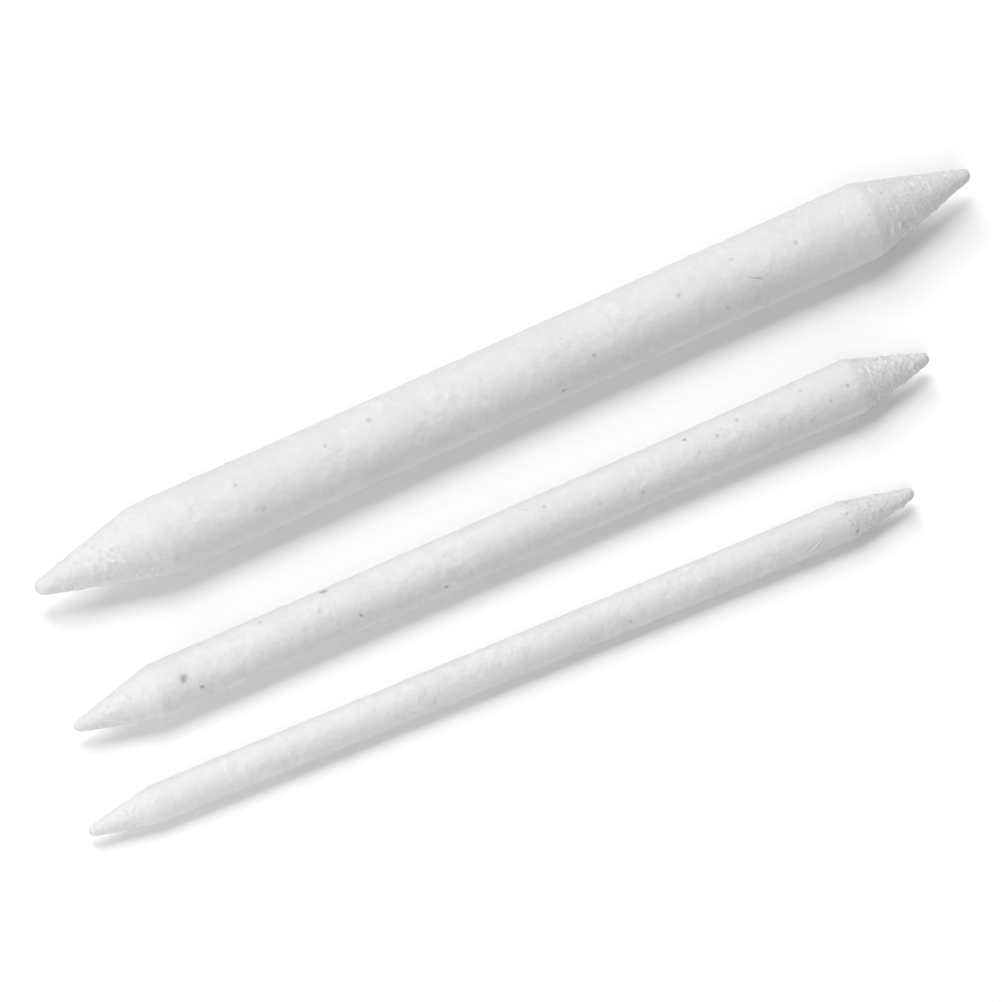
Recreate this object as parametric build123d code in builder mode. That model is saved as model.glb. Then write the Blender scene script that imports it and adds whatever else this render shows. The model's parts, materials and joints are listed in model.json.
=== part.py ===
from build123d import *
import os
from dataclasses import dataclass
from math import cos, radians, sin, tan

# A set of three graded blending stumps, lying side by side on a table.
# Each stump is one solid stick of pressed paper pulp, ground to a blunt cone at both ends.
# Frame: millimetres, +Z up with the table at Z = 0, +X along the large stump,
# +Y from the small stump towards the large one, and the origin under the middle of the set.


@dataclass
class Cone:
    """One ground end. It has an axis of its own, because an end is ground by hand."""

    half_angle: float  # degrees between the cone's side and its own axis
    nose_radius: float  # of the blunt tip
    offset: float = 0.0  # from the stick's axis to the cone's, at the shoulder
    lean: float = 0.0  # degrees that the cone's axis turns the same way, towards its tip


@dataclass
class Stump:
    """One stick. Its left end points to -X and its right end to +X."""

    name: str
    length: float  # from tip to tip
    waist_diameter: float  # of the cylindrical stretch in the middle
    waist_length: float
    left_diameter: float  # at the shoulder where the left cone starts
    right_diameter: float  # at the shoulder where the right cone starts
    left_cone: Cone
    right_cone: Cone
    edge_radius: float  # of the worn edge round both shoulders
    middle: tuple  # X and Y of the stick's midpoint
    yaw: float  # degrees that the stick is turned from +X, seen from above


large = Stump(
    name="large_stump",
    length=152.0,
    waist_diameter=11.44,
    waist_length=60.0,
    left_diameter=11.70,
    right_diameter=11.74,
    left_cone=Cone(half_angle=14.6, nose_radius=1.30, offset=0.38),
    right_cone=Cone(half_angle=16.2, nose_radius=1.05),
    edge_radius=0.25,
    middle=(5.03, 19.42),
    yaw=0.0,
)
medium = Stump(
    name="medium_stump",
    length=137.0,
    waist_diameter=7.80,
    waist_length=54.0,
    left_diameter=8.07,
    right_diameter=8.46,
    left_cone=Cone(half_angle=15.15, nose_radius=0.85, offset=-0.13),
    right_cone=Cone(half_angle=16.0, nose_radius=0.95, lean=-2.4),
    edge_radius=0.30,
    middle=(-7.17, -2.84),
    yaw=-0.87,
)
small = Stump(
    name="small_stump",
    length=130.0,
    waist_diameter=5.70,
    waist_length=24.0,
    left_diameter=5.50,
    right_diameter=6.03,
    left_cone=Cone(half_angle=11.6, nose_radius=0.85, lean=-1.2),
    right_cone=Cone(half_angle=11.6, nose_radius=0.95, offset=-0.16, lean=1.2),
    edge_radius=0.80,
    middle=(-16.09, -19.93),
    yaw=-2.45,
)

# A cone's offset and lean are towards +Y and upwards, at this angle above level, or away
# from there when negative.
GRINDING_SIDE = 30.0

# The cone that grinding leaves is drawn past the stick's far end, by this share of its length.
GRINDING_REACH = 1.2


def shoulder_to_tip(cone, diameter):
    """How far back from its tip a cone has grown to the stick's diameter."""
    tip_to_apex = cone.nose_radius / sin(radians(cone.half_angle)) - cone.nose_radius
    return diameter / 2 / tan(radians(cone.half_angle)) - tip_to_apex


def shoulders(stump):
    """Distances from the stick's middle to its left and right shoulders."""
    left = stump.length / 2 - shoulder_to_tip(stump.left_cone, stump.left_diameter)
    right = stump.length / 2 - shoulder_to_tip(stump.right_cone, stump.right_diameter)
    return left, right


def stick_plane(stump):
    """The plane of the stick's axis: X towards the right tip and Y to the grinding's side.

    The stick rests on both shoulders, so its axis rises a little towards the thicker one.
    """
    left, right = shoulders(stump)
    rise = (stump.right_diameter - stump.left_diameter) / 2 / (left + right)
    height = stump.left_diameter / 2 + rise * left
    yaw = radians(stump.yaw)
    side = radians(GRINDING_SIDE)
    along = Vector(cos(yaw), sin(yaw), rise).normalized()
    level = Vector(-sin(yaw), cos(yaw), 0)
    grinding_side = level * cos(side) + along.cross(level) * sin(side)
    middle = Vector(*stump.middle, height)
    return Plane(origin=middle, x_dir=along, z_dir=along.cross(grinding_side))


def cone_plane(stump, cone, end):
    """The same plane moved to a cone's tip, with X along the cone's own axis into the stick.

    The left end is -1 and the right end is 1.
    """
    plane = stick_plane(stump)
    diameter = stump.left_diameter if end < 0 else stump.right_diameter
    depth = shoulder_to_tip(cone, diameter)
    lean = radians(cone.lean)
    inwards = plane.x_dir * (-end * cos(lean)) - plane.y_dir * sin(lean)
    shoulder = plane.origin + plane.x_dir * (end * (stump.length / 2 - depth))
    tip = shoulder + plane.y_dir * cone.offset - inwards * depth
    return Plane(origin=tip, x_dir=inwards, z_dir=plane.z_dir)


def draw_stick(stump):
    """Half outline of the unground stick: a straight waist, and a faint taper to each shoulder."""
    left, right = shoulders(stump)
    half_waist = stump.waist_length / 2
    waist_radius = stump.waist_diameter / 2
    left_slope = (stump.left_diameter / 2 - waist_radius) / (left - half_waist)
    right_slope = (stump.right_diameter / 2 - waist_radius) / (right - half_waist)
    end = stump.length / 2
    left_end = waist_radius + left_slope * (end - half_waist)
    right_end = waist_radius + right_slope * (end - half_waist)
    with BuildSketch(stick_plane(stump)) as outline:
        with BuildLine():
            Polyline(
                (-end, 0),
                (-end, left_end),
                (-half_waist, waist_radius),
                (half_waist, waist_radius),
                (end, right_end),
                (end, 0),
                close=True,
            )
        make_face()
    return outline.sketch


def draw_cone(stump, cone, plane):
    """Half outline of the space that grinding leaves: a round nose and a straight side."""
    angle = radians(cone.half_angle)
    nose = cone.nose_radius
    nose_end = (nose - nose * sin(angle), nose * cos(angle))
    half_way = (radians(90) - angle) / 2
    nose_middle = (nose - nose * cos(half_way), nose * sin(half_way))
    far = stump.length * GRINDING_REACH
    far_radius = nose_end[1] + (far - nose_end[0]) * tan(angle)
    with BuildSketch(plane) as outline:
        with BuildLine():
            ThreePointArc((0, 0), nose_middle, nose_end)
            Polyline(nose_end, (far, far_radius), (far, 0), (0, 0))
        make_face()
    return outline.sketch


def make_stump(stump):
    """The stick, ground to a cone at each end, with each shoulder's edge worn round."""
    stick = stick_plane(stump)
    with BuildPart() as piece:
        revolve(draw_stick(stump), axis=Axis(stick.origin, stick.x_dir))
        for cone, end in ((stump.left_cone, -1), (stump.right_cone, 1)):
            plane = cone_plane(stump, cone, end)
            cone_axis = Axis(plane.origin, plane.x_dir)
            revolve(draw_cone(stump, cone, plane), axis=cone_axis, mode=Mode.INTERSECT)
            fillet(piece.edges(Select.NEW), stump.edge_radius)
    piece.part.label = stump.name
    return piece


os.makedirs("parts", exist_ok=True)
large_stump = make_stump(large)
export_step(large_stump.part, "parts/large_stump.step")
medium_stump = make_stump(medium)
export_step(medium_stump.part, "parts/medium_stump.step")
small_stump = make_stump(small)
export_step(small_stump.part, "parts/small_stump.step")
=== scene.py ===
import json
from dataclasses import dataclass
from itertools import product
from math import cos, pi, radians, sin, tan

import bpy
import numpy as np
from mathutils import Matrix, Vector


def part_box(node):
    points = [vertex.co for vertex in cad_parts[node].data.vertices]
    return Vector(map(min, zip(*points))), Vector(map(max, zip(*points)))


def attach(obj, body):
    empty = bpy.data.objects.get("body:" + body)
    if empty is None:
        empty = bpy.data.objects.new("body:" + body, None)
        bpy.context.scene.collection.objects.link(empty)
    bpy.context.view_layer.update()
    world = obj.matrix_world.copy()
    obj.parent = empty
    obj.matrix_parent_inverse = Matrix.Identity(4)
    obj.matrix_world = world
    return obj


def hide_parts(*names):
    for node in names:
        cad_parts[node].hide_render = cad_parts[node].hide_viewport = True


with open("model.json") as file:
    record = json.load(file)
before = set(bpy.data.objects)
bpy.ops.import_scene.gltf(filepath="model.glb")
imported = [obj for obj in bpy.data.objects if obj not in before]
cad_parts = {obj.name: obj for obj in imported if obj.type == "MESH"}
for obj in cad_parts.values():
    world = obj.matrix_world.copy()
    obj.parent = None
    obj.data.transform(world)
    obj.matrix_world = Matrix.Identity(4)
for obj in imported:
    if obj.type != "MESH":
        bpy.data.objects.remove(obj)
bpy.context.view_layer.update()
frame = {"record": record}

# Three blending stumps of pressed paper pulp. Each CAD stick is replaced by a finely
# displaced mesh with ground cones, pulp grain, pits, flecks and loose fibres.
# Sizes are in millimetres and become metres when a mesh is made.
MM = 0.001

# Angles round a stick are degrees from its top, positive towards the viewer's side (-Y).
# Distances along a stick are millimetres from its middle, positive towards +X.
GRINDING_TURN = -60.0  # the side that a positive cone offset or lean goes to


@dataclass
class End:
    """One ground cone, as the CAD has it, and how rough the grinding left it."""

    half_angle: float
    nose_radius: float
    shoulder_diameter: float
    offset: float = 0.0
    lean: float = 0.0
    ridge: float = 0.02  # height of the ridges that run round the cone
    ridge_pitch: float = 0.8
    streak: float = 0.02  # height of the torn streaks
    streak_slant: float = 0.6  # how far the streaks wind along the cone as they go round it
    lump: float = 0.03
    calm_top: float = 0.0  # how much smoother the top of the cone is than its sides
    fuzz: int = 220  # loose fibres
    fuzz_size: float = 1.0


@dataclass
class Stick:
    """One stump. Its place, waist and axis come from the frame."""

    node: str
    mount: str
    rings: int
    columns: int
    cone_density: float  # how much closer the rings are on the cones
    left: End
    right: End
    edge: float  # how softly the cones meet the stick
    grain: float  # how coarse the pulp is, 1 on average
    seed: int
    marks: tuple = ()
    fibres: tuple = ()


@dataclass
class Mark:
    """One blemish: a dark fleck, a grey spot, a soft smudge, a pit, a raised lump or a faint speck."""

    kind: str
    along: float
    turn: float
    length: float
    width: float = 0.0
    slant: float = 0.0  # degrees from the stick's axis


@dataclass
class Fibre:
    """One loose fibre lying on the stick."""

    along: float
    turn: float
    length: float
    slant: float
    radius: float = 0.04
    bend: float = 0.0
    lift: float = 0.03


STICKS = (
    Stick(
        node="large_stump",
        mount="large_barrel",
        rings=660,
        columns=134,
        cone_density=2.0,
        left=End(
            14.6, 1.30, 11.70, offset=0.38, ridge=0.01, streak=0.07, streak_slant=1.1, lump=0.18
        ),
        right=End(
            16.2, 1.05, 11.74, ridge=0.04, ridge_pitch=0.60, streak=0.09, lump=0.28,
            calm_top=0.4, fuzz_size=1.3,
        ),
        edge=0.08,
        grain=1.9,
        seed=11,
        marks=(
            Mark("spot", -44.2, 4, 0.54),
            Mark("spot", -29.8, 5, 0.66),
            Mark("spot", -22.3, -4, 0.90),
            Mark("pit", -41.7, 52, 1.3, 0.9, 20),
            Mark("pit", -57.5, 59, 0.5),
            Mark("spot", 11.9, 46, 0.66),
            Mark("fleck", 6.1, 81, 0.7, 0.45, 10),
            Mark("pit", -4.7, 10, 0.45),
            Mark("pit", 8.6, 3, 0.6),
            Mark("pit", 12.5, 20, 0.45),
            Mark("spot", 27.0, 16, 0.72),
            Mark("spot", 36.5, -1, 0.84, 0.5, -20),
            Mark("spot", 46.2, 16, 0.72),
            Mark("spot", 33.2, 65, 0.54),
            Mark("pit", 54.7, -3, 0.6),
            Mark("pit", 54.2, 10, 0.5),
            Mark("lump", 56.4, 49, 0.9),
            Mark("lump", -63.2, 14, 1.6, 0.9, -35),
            Mark("lump", -61.8, 20, 1.1, 0.7, -35),
        ),
        fibres=(Fibre(38.4, 37, 2.7, -27, 0.055), Fibre(38.7, 40, 2.2, -27, 0.045)),
    ),
    Stick(
        node="medium_stump",
        mount="medium_barrel",
        rings=680,
        columns=126,
        cone_density=1.7,
        left=End(15.15, 0.85, 8.07, offset=-0.13, ridge=0.01, streak=0.035, lump=0.08),
        right=End(
            16.0, 0.95, 8.46, lean=-2.4, ridge=0.09, ridge_pitch=0.58,
            streak=0.15, lump=0.34, calm_top=0.4, fuzz=300, fuzz_size=1.6,
        ),
        edge=0.10,
        grain=1.9,
        seed=23,
        marks=(
            Mark("smudge", -51.9, 25, 1.7, 1.3, 60),
            Mark("fleck", -49.8, 57, 0.8, 0.5, -30),
            Mark("fleck", -27.8, -36, 1.2, 0.8, 0),
            Mark("fleck", -24.5, 54, 0.9, 0.35, -50),
            Mark("spot", -38.1, -25, 0.60),
            Mark("pit", -29.7, 12, 1.3, 0.8, 60),
            Mark("fleck", -11.2, 75, 0.6),
            Mark("pit", 3.9, -14, 1.1, 0.5, -20),
            Mark("spot", 6.5, -3, 0.60),
            Mark("spot", 14.1, 40, 0.54),
            Mark("spot", 20.7, 55, 0.54),
            Mark("fleck", 29.5, -16, 0.55),
            Mark("spot", 34.0, 7, 0.66),
            Mark("spot", 37.7, -8, 0.60),
            Mark("pit", 27.4, -15, 0.45),
            Mark("spot", 48.1, -10, 0.54),
            Mark("spot", 51.4, 37, 0.54),
            Mark("fleck", 54.6, 22, 0.5),
        ),
        fibres=(Fibre(30.1, 23, 2.0, 34, 0.045, 0.4), Fibre(-52.1, 8, 1.7, 75, 0.05)),
    ),
    Stick(
        node="small_stump",
        mount="small_barrel",
        rings=830,
        columns=102,
        cone_density=1.4,
        left=End(11.6, 0.85, 5.50, lean=-1.2, ridge=0.01, streak=0.03, lump=0.08),
        right=End(
            11.6, 0.95, 6.03, offset=-0.16, lean=1.2, ridge=0.05,
            ridge_pitch=0.8, streak=0.10, lump=0.18, calm_top=0.4, fuzz_size=1.5,
        ),
        edge=0.22,
        grain=2.1,
        seed=37,
        marks=(
            Mark("lump", -30.3, 22, 1.4, 0.9, 20),
            Mark("pit", -12.1, 66, 0.8, 0.6, 60),
            Mark("lump", -14.4, 40, 1.4, 0.7, 60),
            Mark("spot", 18.6, 64, 0.54),
            Mark("pit", 43.0, -24, 0.9, 0.4, 70),
            Mark("fleck", 54.6, 70, 0.8, 0.5, 60),
            Mark("lump", 60.2, 50, 0.9, 0.6, 0),
            Mark("lump", 61.4, 46, 0.7, 0.5, 0),
        ),
        fibres=(Fibre(47.6, 62, 3.7, 23, 0.10, 0.2, 0.06),),
    ),
)

FINE_RELIEF = 0.09  # height in millimetres at which the painted highlight on a crest is palest and the painted shade in a crevice darkest
BETWEEN = {"ground": 0.5, "crest": 0.4}  # what the material reads on a loose fibre; its crest value paints the fibres paler, a painted highlight

# Relief of the pulp: how wide its features are and how high they stand, in millimetres.
SWELL_SIZE = 16.0
SWELL_HEIGHT = 0.035
PATCH_SIZE = 7.0
PEBBLE_SIZE = 1.7
PEBBLE_HEIGHT = 0.018
PATCH_HEIGHT = 0.022  # how much higher the pebbles are in the coarse patches
GRAIN_SIZE = 0.70
GRAIN_HEIGHT = 0.018
CONE_PEBBLE = 0.7  # share of the stick's pebbles that the cones keep
CONE_GRAIN = 0.85
RAGGED_SIZE = 3.0
LEAST_RAGGED = 0.3
WANDER_SIZE = 2.4
WANDER = 0.6  # how far the ridges stray from plain rings, in ridge pitches
STREAK_SIZE = 1.3
STREAK_CROSSWISE = 2.6
STREAK_LENGTHWISE = 0.75
LUMP_SIZE = 0.9
NOSE_CALM = 2.0  # depth at which the cone is fully torn

# Where each cone's influence fades, in shoulder depths.
CENTRED_FROM = 0.9
CENTRED_BY = 1.8
CONE_REACH = 2.2
TORN_FROM = 1.4
TORN_BY = 1.2

PITS_PER_MM2 = 0.022
LUMPS_PER_MM2 = 0.012
FAINT_PER_MM2 = 0.007
HIDDEN_FLECKS_PER_MM2 = 0.0028  # on the side that the photo doesn't show
STRAYS = 0.28  # loose fibres per square millimetre of half length times radius

FIBRE_SIDES = 4
FIBRE_RINGS = 4
FIBRE_TIP = 0.35  # how thick a fibre is near its ends, as a share of its middle
ASKEW = (0.31, 0.52, 0.80)  # any direction will do, as long as no fibre runs along it
FUZZ_FROM = 0.3  # how far behind the tip the fuzz begins, in millimetres
FUZZ_REACH = 1.05  # where the fuzz ends, in shoulder depths
FUZZ_ROOT = -0.01  # height of a fibre's lower end over the surface, in millimetres
STRAY_ROOT = -0.004


# ---------------------------------------------------------------- noise


def lattice_noise(points, seed):
    """Smooth random values, about -1 to 1, that change over about one unit."""
    random = np.random.default_rng(seed)
    table = random.permutation(256)
    gradients = random.normal(size=(256, 3))
    gradients /= np.linalg.norm(gradients, axis=1)[:, None]
    cell = np.floor(points).astype(int)
    inside = points - cell
    fade = inside**3 * (inside * (inside * 6 - 15) + 10)
    total = np.zeros(len(points))
    for corner in product((0, 1), repeat=3):
        at = (cell + corner) & 255
        pick = table[(table[(table[at[:, 0]] + at[:, 1]) & 255] + at[:, 2]) & 255]
        weight = np.prod(np.where(corner, fade, 1 - fade), axis=1)
        total += weight * np.einsum("ij,ij->i", gradients[pick], inside - corner)
    return total * 1.6


def layered_noise(points, size, layers, seed):
    """Noise whose largest features are size millimetres across, with finer layers on it."""
    total = np.zeros(len(points))
    strength = 1.0
    for layer in range(layers):
        total += strength * lattice_noise(points / size * 2**layer + layer * 7.3, seed + layer)
        strength *= 0.5
    return total


def smoothstep(low, high, value):
    t = np.clip((value - low) / (high - low), 0, 1)
    return t * t * (3 - 2 * t)


# ---------------------------------------------------------------- shape of a stick


def tip_to_apex(end):
    return end.nose_radius / sin(radians(end.half_angle)) - end.nose_radius


def shoulder_depth(end):
    """From the tip to where the cone is as thick as the stick."""
    return end.shoulder_diameter / 2 / tan(radians(end.half_angle)) - tip_to_apex(end)


def cone_radius(end, depth):
    """Radius of the ground cone at each depth behind its tip, with its round nose."""
    nose = end.nose_radius
    straight = (depth + tip_to_apex(end)) * tan(radians(end.half_angle))
    inside = np.clip(depth, 0, nose)
    round_nose = np.sqrt(np.maximum(nose**2 - (nose - inside) ** 2, 0))
    return np.where(depth < nose * (1 - sin(radians(end.half_angle))), round_nose, straight)


def cone_shift(end, depth):
    """How far the cone's axis is from the stick's, at each depth behind the tip."""
    return end.offset + tan(radians(end.lean)) * (shoulder_depth(end) - depth)


def ray_to_circle(centre, radius, direction):
    """How far from the origin along direction a circle about centre lies."""
    along = np.sum(centre * direction, axis=-1)
    return along + np.sqrt(np.maximum(along**2 - np.sum(centre**2, axis=-1) + radius**2, 0))


def soft_minimum(a, b, softness):
    blend = np.clip(0.5 + 0.5 * (b - a) / softness, 0, 1)
    return b + (a - b) * blend - softness * blend * (1 - blend)


class Place:
    """Where a stick lies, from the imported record's mount and the CAD node's box."""

    def __init__(self, stick):
        mount = next(m for m in frame["record"]["mounts"] if m["name"] == stick.mount)
        low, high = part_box(stick.node)
        axis = np.array(mount["axis"], float)
        axis *= np.sign(axis[0]) / np.linalg.norm(axis)
        self.along = axis
        self.level = np.cross((0, 0, 1), axis)
        self.level /= np.linalg.norm(self.level)
        self.up = np.cross(axis, self.level)
        self.middle = np.array(mount["pos_m"]) / MM
        self.waist_radius = mount["dims"]["r_mm"]
        self.half_waist = mount["dims"]["length_mm"] / 2
        self.half_length = (high[0] - low[0]) / MM / 2 / axis[0]

    def direction(self, turn):
        """Unit vectors across the stick, at angles in radians from its top."""
        return np.cos(turn)[..., None] * self.up - np.sin(turn)[..., None] * self.level


def stick_radius(stick, place, along):
    """Radius of the unground stick: a waist that swells a little to each shoulder."""
    end_radius = np.where(along < 0, stick.left.shoulder_diameter, stick.right.shoulder_diameter) / 2
    depth = np.where(along < 0, shoulder_depth(stick.left), shoulder_depth(stick.right))
    past = (np.abs(along) - place.half_waist) / (place.half_length - depth - place.half_waist)
    return place.waist_radius + (end_radius - place.waist_radius) * np.clip(past, 0, 1.05) ** 1.4


def ring_positions(stick, place):
    """Positions along the stick, closer together on the cones, tips included."""
    fine = np.linspace(-place.half_length, place.half_length, 40001)
    radius = np.minimum(
        stick_radius(stick, place, fine),
        np.minimum(
            cone_radius(stick.left, fine + place.half_length),
            cone_radius(stick.right, place.half_length - fine),
        ),
    )
    on_cone = radius < stick_radius(stick, place, fine)
    density = np.where(on_cone, stick.cone_density, 1.0)[1:]
    travelled = np.concatenate(([0], np.cumsum(np.hypot(np.diff(fine), np.diff(radius)) * density)))
    wanted = np.linspace(0, travelled[-1], stick.rings + 2)[1:-1]
    return np.interp(wanted, travelled, fine)


def bare_surface(stick, place):
    """The smooth stick: ring positions, turns, points in millimetres, and how ground each is."""
    along = ring_positions(stick, place)[:, None]
    turn = (np.arange(stick.columns) / stick.columns * 2 * pi)[None, :]
    across = np.stack((np.cos(turn), np.sin(turn)), axis=-1)
    grind = np.array((cos(radians(GRINDING_TURN)), sin(radians(GRINDING_TURN))))
    depths = {"left": along + place.half_length, "right": place.half_length - along}
    centre = np.zeros((len(along), 1, 2))
    for side, end in (("left", stick.left), ("right", stick.right)):
        depth = depths[side]
        share = 1 - smoothstep(CENTRED_FROM, CENTRED_BY, depth / shoulder_depth(end))
        centre += (share * cone_shift(end, depth))[..., None] * grind
    stick_reach = ray_to_circle(-centre, stick_radius(stick, place, along), across)
    reach = stick_reach
    for side, end in (("left", stick.left), ("right", stick.right)):
        depth = depths[side]
        cone_centre = cone_shift(end, depth)[..., None] * grind - centre
        cone_reach = ray_to_circle(cone_centre, cone_radius(end, depth), across)
        softness = stick.edge * smoothstep(0, 2, depth) + 1e-4
        cut = soft_minimum(reach, cone_reach, softness)
        reach = np.where(depth < CONE_REACH * shoulder_depth(end), cut, reach)
    ground = smoothstep(0.0, 0.7, stick_reach - reach)
    local = centre + reach[..., None] * across
    points = along[..., None] * np.array((1.0, 0, 0)) + np.concatenate(
        (np.zeros_like(reach)[..., None], -local[..., 1:], local[..., :1]), axis=-1
    )
    return along[:, 0], turn[0], points, ground, depths


def grid_normals(points):
    """Outward normals of a grid that closes on itself across its columns."""
    lengthwise = np.gradient(points, axis=0)
    round_it = np.roll(points, -1, axis=1) - np.roll(points, 1, axis=1)
    normals = np.cross(round_it, lengthwise)
    return normals / np.linalg.norm(normals, axis=-1)[..., None]


def relief(stick, turn, points, ground, depths):
    """Height of the paper's surface over the smooth stick in millimetres, and its fine part alone."""
    flat = points.reshape(-1, 3)
    shape = ground.shape

    def layered(size, layers, seed):
        return layered_noise(flat, size, layers, stick.seed + seed).reshape(shape)

    swell = layered(SWELL_SIZE, 2, 1) * SWELL_HEIGHT
    patches = smoothstep(-0.3, 0.6, layered(PATCH_SIZE, 2, 5))
    pebble = layered(PEBBLE_SIZE, 3, 9) * (PEBBLE_HEIGHT + PATCH_HEIGHT * patches) * stick.grain
    grain = layered(GRAIN_SIZE, 2, 17) * GRAIN_HEIGHT * stick.grain
    barrel = pebble + grain
    cones = pebble * CONE_PEBBLE + grain * CONE_GRAIN
    for side, end in (("left", stick.left), ("right", stick.right)):
        depth = depths[side]
        reach = shoulder_depth(end)
        here = 1 - smoothstep(TORN_BY * reach, TORN_FROM * reach, depth)
        ragged = smoothstep(-0.3, 0.5, layered(RAGGED_SIZE, 2, 31))
        patchy = LEAST_RAGGED + (1 - LEAST_RAGGED) * ragged
        phase = depth / end.ridge_pitch + WANDER * layered(WANDER_SIZE, 2, 37)
        sharp = np.abs(np.mod(phase, 1) - 0.5) * 2
        ridges = (sharp - 0.5) * end.ridge * ragged
        winding = points.copy()
        spin = end.streak_slant * np.arctan2(points[..., 1], points[..., 2])
        winding[..., 0] = (winding[..., 0] + spin) * STREAK_CROSSWISE
        winding[..., 1:] *= STREAK_LENGTHWISE
        torn = layered_noise(winding.reshape(-1, 3), STREAK_SIZE, 2, stick.seed + 43).reshape(shape)
        streaks = torn * end.streak * patchy
        lumps = np.maximum(layered(LUMP_SIZE, 2, 53), 0) ** 1.5 * end.lump * patchy
        fades = smoothstep(0.0, NOSE_CALM, depth)
        torn_here = 1 - end.calm_top * smoothstep(-0.2, 0.9, np.cos(turn))
        cones = cones + here * fades * torn_here * (ridges + streaks + lumps)
    fine = barrel * (1 - ground) + cones * ground
    return fine + swell * (1 - 0.5 * ground), fine


def mark_distance(mark, along, turn, radius):
    """0 at a mark's middle and 1 at its rim."""
    half_length = mark.length / 2
    half_width = (mark.width or mark.length) / 2
    away = np.mod(turn[None, :] - radians(mark.turn) + pi, 2 * pi) - pi
    side = -away * radius
    forward = along[:, None] - mark.along
    slant = radians(mark.slant)
    lengthwise = forward * cos(slant) + side * sin(slant)
    crosswise = side * cos(slant) - forward * sin(slant)
    return np.hypot(lengthwise / half_length, crosswise / half_width)


def random_marks(stick, place):
    """Pinholes, lumps and faint specks all over the stick, and flecks on the side that isn't seen."""
    random = np.random.default_rng(stick.seed + 101)
    area = 4 * pi * place.waist_radius * place.half_length
    marks = []
    for kind, per_mm2, low, high in (
        ("pit", PITS_PER_MM2, 0.30, 0.60),
        ("lump", LUMPS_PER_MM2, 0.5, 1.2),
        ("faint", FAINT_PER_MM2, 0.25, 0.5),
    ):
        for _ in range(int(area * per_mm2)):
            along = random.uniform(-0.97, 0.97) * place.half_length
            length = low + (high - low) * random.random() ** 2
            turn = random.uniform(0, 360)
            width = length * random.uniform(0.5, 1.0)
            marks.append(Mark(kind, along, turn, length, width, random.uniform(0, 180)))
    for _ in range(int(area * HIDDEN_FLECKS_PER_MM2)):
        along = random.uniform(-0.8, 0.8) * place.half_length
        marks.append(Mark("fleck", along, random.uniform(110, 300), random.uniform(0.4, 0.7)))
    return marks


MARK_HEIGHTS = {"fleck": -0.02, "smudge": -0.01, "pit": -0.075, "lump": 0.06, "spot": -0.02, "faint": -0.01}


def add_marks(stick, place, along, turn, points, height):
    """Adds each mark's relief and returns the layers that the material reads."""
    layers = {name: np.full(height.shape, -1.0) for name in ("fleck", "spot", "smudge", "pit", "faint")}
    radius = np.linalg.norm(points[..., 1:], axis=-1)
    for mark in list(stick.marks) + random_marks(stick, place):
        reach = max(mark.length, mark.width)
        rows = slice(*np.searchsorted(along, (mark.along - reach, mark.along + reach)))
        if rows.start == rows.stop:
            continue
        away = mark_distance(mark, along[rows], turn, radius[rows])
        height[rows] += MARK_HEIGHTS[mark.kind] * np.exp(-1.5 * away**2) * min(1, mark.length / 0.5)
        if mark.kind in layers:
            layers[mark.kind][rows] = np.maximum(layers[mark.kind][rows], 1 - away)
    return layers


# ---------------------------------------------------------------- loose fibres


def fibre_tube(path, radius):
    """A closed thin tube that tapers to a point at both ends of a path."""
    steps = np.gradient(path, axis=0)
    steps /= np.linalg.norm(steps, axis=1)[:, None]
    sideways = np.cross(steps, ASKEW)
    sideways /= np.linalg.norm(sideways, axis=1)[:, None]
    other = np.cross(steps, sideways)
    angles = np.arange(FIBRE_SIDES) / FIBRE_SIDES * 2 * pi
    share = np.linspace(0, 1, len(path))
    width = radius * (FIBRE_TIP + (1 - FIBRE_TIP) * np.sin(pi * share) ** 0.5)
    across = np.cos(angles)[:, None] * sideways[:, None, :] + np.sin(angles)[:, None] * other[:, None, :]
    rings = path[:, None, :] + width[:, None, None] * across
    tips = np.stack((path[0] - steps[0] * radius, path[-1] + steps[-1] * radius))
    vertices = np.concatenate((rings.reshape(-1, 3), tips))
    faces = []
    count = len(path)
    for ring in range(count - 1):
        for side in range(FIBRE_SIDES):
            a = ring * FIBRE_SIDES + side
            b = ring * FIBRE_SIDES + (side + 1) % FIBRE_SIDES
            faces.append((a, b, b + FIBRE_SIDES, a + FIBRE_SIDES))
    first, last = len(vertices) - 2, len(vertices) - 1
    top = (count - 1) * FIBRE_SIDES
    for side in range(FIBRE_SIDES):
        after = (side + 1) % FIBRE_SIDES
        faces.append((first, after, side))
        faces.append((last, top + side, top + after))
    return vertices, faces


class Surface:
    """Reads the finished grid between its points, to lay fibres on it."""

    def __init__(self, along, points, normals):
        self.along, self.points, self.normals = along, points, normals

    def at(self, along, turn):
        row = np.clip(np.interp(along, self.along, np.arange(len(self.along))), 0, len(self.along) - 1.001)
        column = np.mod(turn, 2 * pi) / (2 * pi) * self.points.shape[1]
        r, c = row.astype(int), column.astype(int) % self.points.shape[1]
        fr, fc = (row - r)[:, None], (column - np.floor(column))[:, None]
        after = (c + 1) % self.points.shape[1]

        def mix(grid):
            near = grid[r, c] * (1 - fc) + grid[r, after] * fc
            far = grid[r + 1, c] * (1 - fc) + grid[r + 1, after] * fc
            return near * (1 - fr) + far * fr

        return mix(self.points), mix(self.normals)


def lay_fibre(surface, fibre, heights):
    """A path over the surface in the fibre's direction, at the given heights above it."""
    share = np.linspace(-0.5, 0.5, len(heights))
    slant = radians(fibre.slant) + fibre.bend * share * 2
    step = fibre.length / len(share)
    half = fibre.length / 2
    forward = fibre.along + np.cumsum(np.cos(slant)) * step - half * cos(radians(fibre.slant))
    side = np.cumsum(np.sin(slant)) * step - half * sin(radians(fibre.slant))
    middle, _ = surface.at(np.array([fibre.along]), np.array([radians(fibre.turn)]))
    radius = max(np.linalg.norm(middle[0, 1:]), 0.4)
    base, normal = surface.at(forward, radians(fibre.turn) - side / radius)
    return base + normal * heights[:, None]


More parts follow.
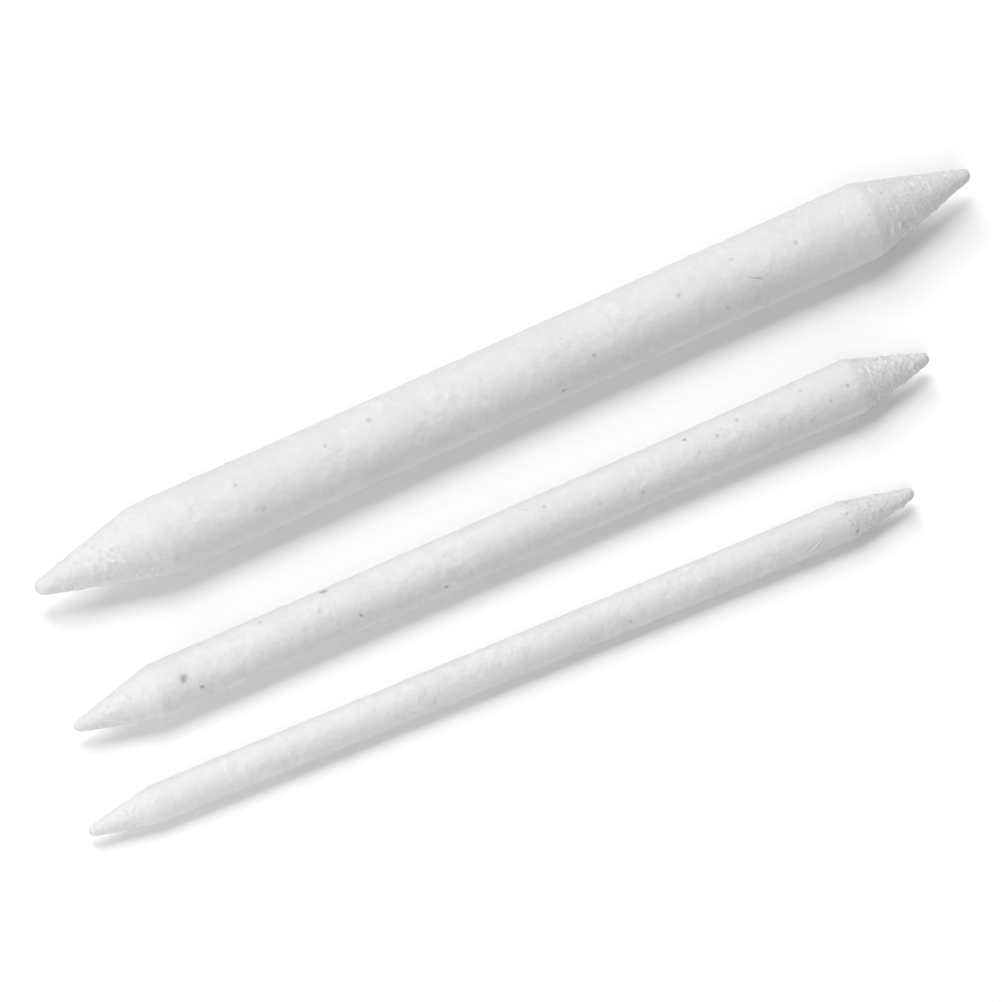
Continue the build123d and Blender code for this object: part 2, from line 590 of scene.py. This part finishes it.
def loose_fibres(stick, place, surface):
    """Every fibre of one stick: those listed for it, short fuzz on the cones, and strays."""
    random = np.random.default_rng(stick.seed + 211)
    tubes = []
    share = np.linspace(0, 1, FIBRE_RINGS)
    for fibre in stick.fibres:
        longer = np.linspace(0, 1, 2 * FIBRE_RINGS)
        heights = fibre.radius * 0.5 + fibre.lift * np.sin(pi * longer)
        tubes.append(fibre_tube(lay_fibre(surface, fibre, heights), fibre.radius))
    for sign, end in ((-1, stick.left), (1, stick.right)):
        reach = shoulder_depth(end)
        for _ in range(end.fuzz):
            depth = FUZZ_FROM + (FUZZ_REACH * reach - FUZZ_FROM) * random.random() ** 0.8
            fibre = Fibre(
                sign * (place.half_length - depth),
                random.uniform(0, 360),
                random.uniform(0.3, 0.8) * end.fuzz_size,
                random.uniform(0, 360),
                random.uniform(0.02, 0.045) * end.fuzz_size,
                random.uniform(-1.2, 1.2),
            )
            rise = random.uniform(0.02, 0.16) * random.random() * end.fuzz_size
            heights = FUZZ_ROOT + rise * share**1.5
            tubes.append(fibre_tube(lay_fibre(surface, fibre, heights), fibre.radius))
    for _ in range(int(place.half_length * place.waist_radius * STRAYS)):
        fibre = Fibre(
            random.uniform(-0.85, 0.85) * place.half_length,
            random.uniform(0, 360),
            random.uniform(0.5, 1.8),
            random.normal(0, 40),
            random.uniform(0.018, 0.032),
            random.uniform(-0.8, 0.8),
        )
        heights = STRAY_ROOT + random.uniform(0.0, 0.03) * np.sin(pi * share)
        tubes.append(fibre_tube(lay_fibre(surface, fibre, heights), fibre.radius))
    return tubes


# ---------------------------------------------------------------- meshes


def grid_faces(rings, columns):
    """Quads between the rings, and a fan of triangles at each tip."""
    ring = np.arange(rings - 1)[:, None] * columns
    column = np.arange(columns)[None, :]
    after = (column + 1) % columns
    quads = np.stack(
        (ring + column, ring + columns + column, ring + columns + after, ring + after), axis=-1
    ).reshape(-1, 4)
    first, last = rings * columns, rings * columns + 1
    top = (rings - 1) * columns
    fans = [(first, c, (c + 1) % columns) for c in range(columns)]
    fans += [(last, top + (c + 1) % columns, top + c) for c in range(columns)]
    return [tuple(quad) for quad in quads.tolist()] + fans


def make_piece(stick, material):
    """Builds one stump's mesh with its fibres, and hands it to the frame."""
    place = Place(stick)
    along, turn, points, ground, depths = bare_surface(stick, place)
    normals = grid_normals(points)
    height, fine = relief(stick, turn, points, ground, depths)
    layers = add_marks(stick, place, along, turn, points, height)
    points = points + normals * height[..., None]
    normals = grid_normals(points)
    tips = np.array(((-place.half_length, 0, 0), (place.half_length, 0, 0)))
    tips[0, 1:] = points[0, :, 1:].mean(axis=0)
    tips[1, 1:] = points[-1, :, 1:].mean(axis=0)
    tubes = loose_fibres(stick, place, Surface(along, points, normals))

    vertices = [points.reshape(-1, 3), tips]
    faces = grid_faces(len(along), len(turn))
    count = points.size // 3 + 2
    for tube_vertices, tube_faces in tubes:
        faces += [tuple(corner + count for corner in face) for face in tube_faces]
        vertices.append(tube_vertices)
        count += len(tube_vertices)
    local = np.concatenate(vertices)
    world = (
        place.middle
        + local[:, :1] * place.along
        + local[:, 1:2] * place.level
        + local[:, 2:] * place.up
    )
    world[:, 2] = np.maximum(world[:, 2], 0.0)

    mesh = bpy.data.meshes.new(stick.node + "_pulp")
    mesh.from_pydata((world * MM).tolist(), [], faces)
    mesh.validate()
    mesh.shade_smooth()
    grid_count = points.size // 3
    layers["ground"] = ground
    layers["crest"] = np.clip(fine / FINE_RELIEF, -1, 1)
    for name, values in layers.items():
        filled = np.full(count, BETWEEN.get(name, -1.0))
        filled[:grid_count] = values.ravel()
        attribute = mesh.attributes.new(name, "FLOAT", "POINT")
        attribute.data.foreach_set("value", filled.astype(np.float32))
    mesh.materials.append(material)
    piece = bpy.data.objects.new(stick.node + "_pulp", mesh)
    bpy.context.scene.collection.objects.link(piece)
    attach(piece, stick.node)
    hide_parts(stick.node)


# ---------------------------------------------------------------- materials


class Nodes:
    """Short names for building a node tree."""

    def __init__(self, name):
        self.material = bpy.data.materials.new(name)
        self.material.use_nodes = True
        self.tree = self.material.node_tree
        self.shader = self.tree.nodes["Principled BSDF"]

    def add(self, kind, inputs=None, **settings):
        node = self.tree.nodes.new(kind)
        for key, value in settings.items():
            setattr(node, key, value)
        for key, value in (inputs or {}).items():
            if isinstance(value, bpy.types.NodeSocket):
                self.tree.links.new(value, node.inputs[key])
            else:
                node.inputs[key].default_value = value
        return node

    def link(self, source, key):
        self.tree.links.new(source, self.shader.inputs[key])

    def math(self, operation, a, b=0.0, clamp=False):
        return self.add("ShaderNodeMath", {0: a, 1: b}, operation=operation, use_clamp=clamp).outputs[0]

    def between(self, value, low, high, to_low=0.0, to_high=1.0):
        inputs = {"Value": value, "From Min": low, "From Max": high, "To Min": to_low, "To Max": to_high}
        return self.add("ShaderNodeMapRange", inputs, interpolation_type="SMOOTHSTEP").outputs["Result"]

    def mix(self, factor, a, b):
        node = self.add("ShaderNodeMix", data_type="RGBA")
        for key, value in ((0, factor), (6, a), (7, b)):
            if isinstance(value, bpy.types.NodeSocket):
                self.tree.links.new(value, node.inputs[key])
            else:
                node.inputs[key].default_value = value
        return node.outputs[2]

    def noise(self, place, size_mm, detail, roughness=0.5):
        inputs = {"Vector": place, "Scale": 1 / (size_mm * MM), "Detail": detail, "Roughness": roughness}
        return self.add("ShaderNodeTexNoise", inputs).outputs["Fac"]


def grey(value, warmth=0.0):
    return (value * (1 + warmth), value, value * (1 - warmth), 1.0)


# Each kind of mark: its layer on the mesh, where on that layer its colour begins, how much it covers,
# how ragged its rim is, and its grey and warmth.
BLEMISHES = (
    ("fleck", -0.7, 0.85, 1.0, 0.27, 0.03),
    ("spot", -0.6, 0.55, 1.0, 0.36, 0.03),
    ("faint", -0.3, 0.35, 1.0, 0.40, 0.03),
    ("smudge", -0.3, 0.80, 1.4, 0.27, 0.05),
    # The pits are painted darker grey: painted shade in the pinholes.
    ("pit", -0.3, 0.40, 1.0, 0.42, 0.0),
)


def paper_pulp():
    """White pressed pulp: mottled, flecked and pitted, with a fine felted grain, painted shade in its pits
    and crevices and painted highlights on its crests.
    """
    nodes = Nodes("paper_pulp")
    place = nodes.add("ShaderNodeTexCoord").outputs["Object"]
    attribute = {
        name: nodes.add("ShaderNodeAttribute", attribute_name=name).outputs["Fac"]
        for name in ("fleck", "spot", "smudge", "pit", "faint", "ground", "crest")
    }
    cloudy = nodes.noise(place, 9.0, 2.0)
    mottle = nodes.noise(place, 0.9, 4.0, 0.6)
    felt = nodes.noise(place, 0.28, 3.0, 0.6)
    edge = nodes.math("MULTIPLY", nodes.math("SUBTRACT", felt, 0.5), 0.9)

    colour = nodes.mix(nodes.between(cloudy, 0.35, 0.65), grey(0.690), grey(0.715))
    colour = nodes.mix(nodes.between(mottle, 0.30, 0.48, 0.22, 0.0), colour, grey(0.62))
    colour = nodes.mix(nodes.between(mottle, 0.58, 0.75, 0.0, 0.22), colour, grey(0.77))
    # Painted shade: crevices of the fine relief are painted darker, more deeply on the ground cones than on
    # the stick.
    painted_crevice_shade = nodes.between(attribute["ground"], 0.0, 1.0, 0.25, 0.65)
    colour = nodes.mix(nodes.between(attribute["crest"], -1.0, 0.0, painted_crevice_shade, 0.0), colour, grey(0.53))
    # Painted highlight: crests of the fine relief are painted paler.
    colour = nodes.mix(nodes.between(attribute["crest"], 0.0, 1.0, 0.0, 0.6), colour, grey(0.79))
    for layer, start, share, raggedness, value, warmth in BLEMISHES:
        rim = nodes.math("ADD", attribute[layer], nodes.math("MULTIPLY", edge, raggedness))
        shown = nodes.between(rim, start, 0.9, 0.0, share)
        colour = nodes.mix(shown, colour, grey(value, warmth))
    nodes.link(colour, "Base Color")

    roughness = nodes.between(mottle, 0.3, 0.7, 0.86, 0.96)
    nodes.link(roughness, "Roughness")
    nodes.shader.inputs["Specular IOR Level"].default_value = 0.25
    nodes.shader.inputs["Sheen Weight"].default_value = 0.08
    nodes.shader.inputs["Sheen Roughness"].default_value = 0.6

    pores = nodes.add("ShaderNodeTexVoronoi", {"Vector": place, "Scale": 1 / (0.55 * MM)}).outputs["Distance"]
    pore_depth = nodes.between(pores, 0.0, 0.35)
    grain = nodes.noise(place, 0.45, 5.0, 0.65)
    weave = nodes.noise(place, 0.16, 2.0, 0.5)
    height = nodes.math("ADD", grain, nodes.math("MULTIPLY", weave, 0.35))
    height = nodes.math("ADD", height, nodes.math("MULTIPLY", pore_depth, 0.25))
    strength = nodes.between(attribute["ground"], 0.0, 1.0, 0.5, 0.85)
    bump = nodes.add("ShaderNodeBump", {"Height": height, "Strength": strength, "Distance": 0.10 * MM})
    nodes.link(bump.outputs["Normal"], "Normal")
    return nodes.material


def pale_floor():
    """A seamless studio floor: nearly white, with a trace of unevenness."""
    nodes = Nodes("pale_floor")
    place = nodes.add("ShaderNodeTexCoord").outputs["Object"]
    cloudy = nodes.noise(place, 300.0, 2.0)
    nodes.link(nodes.mix(cloudy, grey(0.925), grey(0.935)), "Base Color")
    nodes.shader.inputs["Roughness"].default_value = 0.9
    nodes.shader.inputs["Specular IOR Level"].default_value = 0.1
    return nodes.material


# ---------------------------------------------------------------- the studio


FLOOR_SIZE = 12.0  # metres
LENS = 400.0
SENSOR = 36.0
CAMERA_AZIMUTH = -27.6
CAMERA_ELEVATION = 59.9
FIELD_WIDTH = 0.1444  # metres across the picture, at the target
TARGET = Vector((-0.0036, 0.0051, 0.0))


def direction_to(azimuth, elevation):
    """The way to something seen from the object, with azimuth 0 towards -Y."""
    a, e = radians(azimuth), radians(elevation)
    return Vector((sin(a) * cos(e), -cos(a) * cos(e), sin(e)))


def make_floor():
    half = FLOOR_SIZE / 2
    mesh = bpy.data.meshes.new("floor")
    corners = [(-half, -half, 0), (half, -half, 0), (half, half, 0), (-half, half, 0)]
    mesh.from_pydata(corners, [], [(0, 1, 2, 3)])
    mesh.materials.append(pale_floor())
    floor = bpy.data.objects.new("floor", mesh)
    bpy.context.scene.collection.objects.link(floor)


def soft_light(name, azimuth, elevation, distance, size, power):
    """A square soft box that points at the object."""
    light = bpy.data.lights.new(name, "AREA")
    light.shape = "SQUARE"
    light.size = size
    light.energy = power
    away = direction_to(azimuth, elevation)
    box = bpy.data.objects.new(name, light)
    box.location = away * distance
    box.rotation_mode = "QUATERNION"
    box.rotation_quaternion = away.to_track_quat("Z", "Y")
    box.visible_camera = False
    bpy.context.scene.collection.objects.link(box)


def make_light():
    world = bpy.data.worlds.new("studio")
    world.use_nodes = True
    background = world.node_tree.nodes["Background"]
    background.inputs["Color"].default_value = (1.0, 1.0, 1.0, 1.0)
    background.inputs["Strength"].default_value = 0.02
    bpy.context.scene.world = world
    soft_light("top", azimuth=180, elevation=75, distance=1.2, size=0.6, power=8.6)
    soft_light("back", azimuth=180, elevation=45, distance=1.2, size=0.6, power=6.0)
    soft_light("front", azimuth=-27, elevation=45, distance=1.2, size=0.6, power=5.6)
    soft_light("low_left", azimuth=-100, elevation=20, distance=1.2, size=0.6, power=1.8)
    soft_light("near_left", azimuth=-58, elevation=18, distance=0.2, size=0.12, power=0.05)


def make_camera():
    camera = bpy.data.cameras.new("camera")
    camera.lens = LENS
    camera.sensor_width = SENSOR
    camera.clip_start = 0.01
    camera.clip_end = 50.0
    away = direction_to(CAMERA_AZIMUTH, CAMERA_ELEVATION)
    holder = bpy.data.objects.new("camera", camera)
    holder.location = TARGET + away * (FIELD_WIDTH * LENS / SENSOR)
    holder.rotation_mode = "QUATERNION"
    holder.rotation_quaternion = away.to_track_quat("Z", "Y")
    bpy.context.scene.collection.objects.link(holder)
    bpy.context.scene.camera = holder


bpy.context.scene.view_settings.view_transform = "Standard"
pulp = paper_pulp()
for stump in STICKS:
    make_piece(stump, pulp)
make_floor()
make_light()
make_camera()
